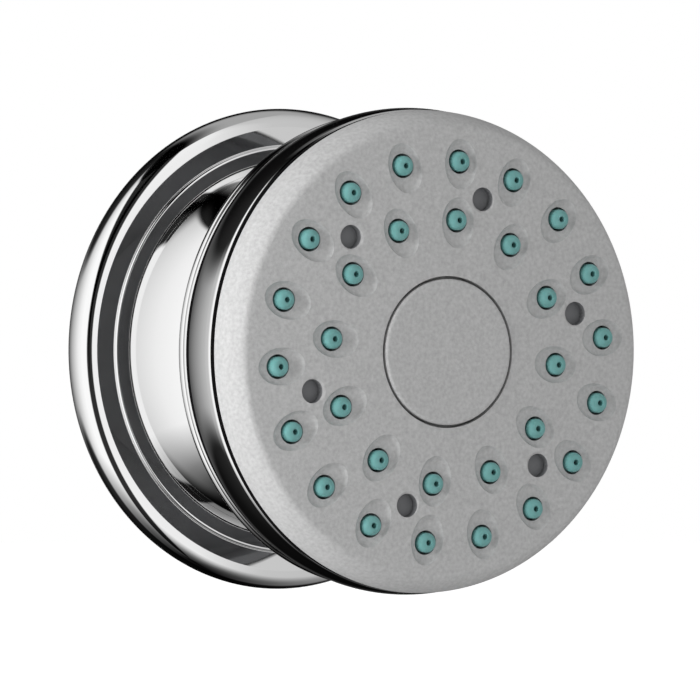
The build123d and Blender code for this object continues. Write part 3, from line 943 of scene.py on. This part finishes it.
def dimple_cutter(ring_radius):
    """Cutter for one dimple, on the axis: a turned dish, stretched along the radius of the face."""
    cutter = bmesh.new()
    draw_outline(
        cutter,
        (0, -dimple_depth),
        (dimple_wide - dimple_edge, -dimple_rim),
        (dimple_wide + dimple_edge, dimple_rim),
        (0, dimple_rim),
    )
    round_corners(cutter, (dimple_wide - dimple_edge, -dimple_rim, dimple_round))
    turn_outline(cutter, steps=72)
    bmesh.ops.scale(cutter, verts=cutter.verts, vec=(dimple_long / dimple_wide, 1, 1))
    slope = Matrix.Rotation(asin(ring_radius / dome_radius), 3, "Z")
    bmesh.ops.rotate(cutter, verts=cutter.verts, cent=(0, 0, 0), matrix=slope)
    bmesh.ops.translate(cutter, verts=cutter.verts, vec=(0, -dome_depth(ring_radius) * MM, 0))
    return cutter


dimples_bm = bmesh.new()
holes_bm = bmesh.new()
drill = bmesh.new()
draw_ring(drill, 0, nozzle_hole, face_inside - overcut, cap_pole + overcut)
turn_outline(drill, steps=40)
for ring_radius, count, phase in nozzle_rings:
    cutter = dimple_cutter(ring_radius - dimple_inset)
    place_copies(dimples_bm, cutter, ring_radius - dimple_inset, count, phase)
    place_copies(holes_bm, drill, ring_radius, count, phase)
    cutter.free()
drill.free()
print("dimple cutter faces", len(dimples_bm.faces), "drill faces", len(holes_bm.faces))

# %% [markdown]
# The cutter of a screw well is a drill with a flared end, which leaves a fine lip round the mouth. It
# joins the nozzle drills, because these two kinds of holes lie well apart.

# %% Screw well cutters
well_ring, well_phase = 25.85, 19.75
well_radius, well_floor, well_lip = 1.9, 48.5, 0.15

well_mouth = dome_depth(screw_ring)
well_flare = well_radius + well_lip * 3
sink = bmesh.new()
draw_outline(
    sink,
    (0, face_inside - overcut),
    (well_radius, face_inside - overcut),
    (well_radius, well_mouth - well_lip),
    (well_flare, well_mouth + well_lip),
    (0, well_mouth + well_lip),
)
round_corners(sink, (well_radius, well_mouth - well_lip, 0.12))
turn_outline(sink, steps=48)
place_copies(holes_bm, sink, well_ring, screw_count, well_phase)
sink.free()
print("hole cutter faces", len(holes_bm.faces))

# %% [markdown]
# ## Spray face: cutting
# A Boolean modifier takes the dimples away first and the round holes second, so the two sets of
# cutters never overlap in one step. Its manifold solver is the quickest for closed shapes like these.
# The result is read back as a plain mesh. Edges steeper than 20 degrees stay sharp, which keeps the
# dome's shading clean right up to every dimple.

# %% Cut the face
def cut_away(base_bm, *cutter_bms):
    """Subtracts each cutter set in turn with a Boolean modifier and returns the cut bmesh."""
    shapes = []
    for shape_bm in (base_bm, *cutter_bms):
        mesh = bpy.data.meshes.new("cutting")
        shape_bm.to_mesh(mesh)
        shape_bm.free()
        shapes.append(bpy.data.objects.new("cutting", mesh))
        bpy.context.scene.collection.objects.link(shapes[-1])
    base = shapes[0]
    for cutter in shapes[1:]:
        cut = base.modifiers.new("cut", "BOOLEAN")
        cut.operation = "DIFFERENCE"
        cut.solver = "MANIFOLD"
        cut.object = cutter
    result = base.evaluated_get(bpy.context.evaluated_depsgraph_get()).to_mesh()
    cut_bm = bmesh.new()
    cut_bm.from_mesh(result)
    for shape in shapes:
        mesh = shape.data
        bpy.data.objects.remove(shape)
        bpy.data.meshes.remove(mesh)
    return cut_bm


bm = cut_away(plate_bm, dimples_bm, holes_bm)
bmesh.ops.remove_doubles(bm, verts=bm.verts, dist=2 * WELD)
print("cut face", len(bm.faces), "open edges", sum(not edge.is_manifold for edge in bm.edges))

# %% [markdown]
# The satin coat stays on the outside. The walls of the wells and the bosses below them take a darker
# grey that is painted shade, so those faces take a second material slot.

# %% Wells and bosses
boss_radius, shank_hole, well_margin = 2.9, 1.1, 0.05
well_axes = [
    Vector((cos(angle), sin(angle))) * well_ring * MM
    for angle in ring_angles(screw_count, well_phase)
]


def in_well(face):
    """True for a face of a well's wall below its lip."""
    centre = face.calc_center_median()
    beside = min((Vector((centre.x, centre.z)) - axis).length for axis in well_axes)
    return beside < (well_radius + well_margin) * MM and -centre.y < (well_mouth - well_lip) * MM


for face in bm.faces:
    face.material_index = SHADE_GREY if in_well(face) else COATED
print("well faces", sum(face.material_index == SHADE_GREY for face in bm.faces))

boss = bmesh.new()
draw_outline(
    boss,
    (shank_hole, post_floor),
    (boss_radius, post_floor),
    (boss_radius, face_inside),
    (well_radius, face_inside),
    (well_radius, well_floor),
    (shank_hole, well_floor),
    (shank_hole, post_floor),
)
turn_outline(boss, steps=48)
# The bosses take the darker grey, painted shade below the wells.
for face in boss.faces:
    face.material_index = SHADE_GREY
place_copies(bm, boss, screw_ring, screw_count, screw_phase)
boss.free()
finish_piece(
    bm, "spray_face", [satin, shade_grey_bore], "satin_face", "spray_head", "face_plate", sharp=20
)

# %% [markdown]
# ## Plugs over the screws
# The photograph shows the wells as shallow dark spots with a flat floor, so a small moulded plug
# covers each screw head. A turned button with a rounded edge is copied to all six wells.

# %% Well plugs
plug_radius, plug_top, plug_floor = 1.89, well_mouth - 1.5, well_mouth - 2.3

bm = bmesh.new()
plug = bmesh.new()
draw_ring(plug, 0, plug_radius, plug_floor, plug_top)
round_corners(plug, (plug_radius, plug_top, 0.05))
turn_outline(plug, steps=48)
place_copies(bm, plug, well_ring, screw_count, well_phase)
plug.free()
# The plugs take the darker grey, painted shade on the floor of each well.
finish_piece(bm, "well_plugs", [shade_grey_bore], "satin_face", "spray_head")

# %% [markdown]
# ## Soft nozzles
# A silicone mat behind the face carries all thirty nozzles. It is a ring with a hole under every
# nozzle and round every boss, cut in the same way as the face.

# %% Nozzle mat
nozzle_tip, nozzle_bore, nozzle_proud = 1.62, 0.45, 1.32
mat_radius, mat_hole, mat_rear, boss_hole = 35.9, 12.0, 49.3, 3.1
screw_rings = [(screw_ring, screw_count, screw_phase)]

mat_bm = bmesh.new()
draw_ring(mat_bm, mat_hole, mat_radius, mat_rear, face_inside)
turn_outline(mat_bm, steps=96)
openings_bm = bmesh.new()
for hole_radius, rings in ((nozzle_tip, nozzle_rings), (boss_hole, screw_rings)):
    drill = bmesh.new()
    draw_ring(drill, 0, hole_radius, mat_rear - overcut, face_inside + overcut)
    turn_outline(drill, steps=32)
    for ring_radius, count, phase in rings:
        place_copies(openings_bm, drill, ring_radius, count, phase)
    drill.free()
bm = cut_away(mat_bm, openings_bm)
print("mat faces", len(bm.faces))

# %% [markdown]
# Each nozzle is a short tube with a well rounded tip and a fine bore, and fills its hole in the mat.
# The tips follow the dome, so each ring of nozzles has its own length.

# %% Nozzles
for ring_radius, count, phase in nozzle_rings:
    tip = dome_depth(ring_radius) - dimple_depth + nozzle_proud
    tube = bmesh.new()
    draw_ring(tube, nozzle_bore, nozzle_tip, mat_rear, tip)
    round_corners(tube, (nozzle_tip, tip, 0.9), (nozzle_bore, tip, 0.15))
    turn_outline(tube, steps=32)
    place_copies(bm, tube, ring_radius, count, phase)
    tube.free()
finish_piece(bm, "soft_nozzles", [silicone], "teal_silicone", "spray_head", "nozzle_mat", sharp=40)

# %% [markdown]
# ## Centre cap
# The cap closes the middle of the face. It is flatter than the dome, so its rounded edge stands a
# little proud and catches the light on the left, next to a thin dark gap. It stays bare.

# %% Centre cap
cap_radius, cap_floor, peg_radius, peg_end = 11.87, 52.95, 2.5, 51.65
cap_curve, cap_stop = 1500.0, 0.9
cap_edge = cap_pole - cap_curve + sqrt(cap_curve**2 - cap_radius**2)

bm = bmesh.new()
draw_outline(
    bm,
    (0, cap_pole),
    (0, cap_pole - cap_curve, -degrees(asin((cap_radius - cap_stop) / cap_curve)), 20),
    (cap_radius, cap_edge),
    (cap_radius, cap_floor),
    (peg_radius, cap_floor),
    (peg_radius, peg_end),
    (0, peg_end),
)
round_corners(bm, (cap_radius, cap_edge, 0.45))
turn_outline(bm)
cap = finish_piece(bm, "bare_centre_cap", [satin], "satin_face", "spray_head", "centre_cap")
even_normals(cap)

# %% [markdown]
# ## Inner pieces
# The seats, seals, nut, stem and screws keep their CAD shapes, because they are right and mostly
# hidden. Each gets the finish of its record slot.

# %% Finishes of the carried-over nodes
slot_finishes = {
    "chrome": chrome, "satin_face": satin, "teal_silicone": silicone, "brass": brass,
    "white_plastic": acetal, "black_rubber": rubber, "steel": steel,
}
for subpart in frame["record"]["subparts"]:
    carried = frame["nodes"][subpart["node"]]
    carried.data.materials.clear()
    carried.data.materials.append(slot_finishes[subpart["material_slot"]])
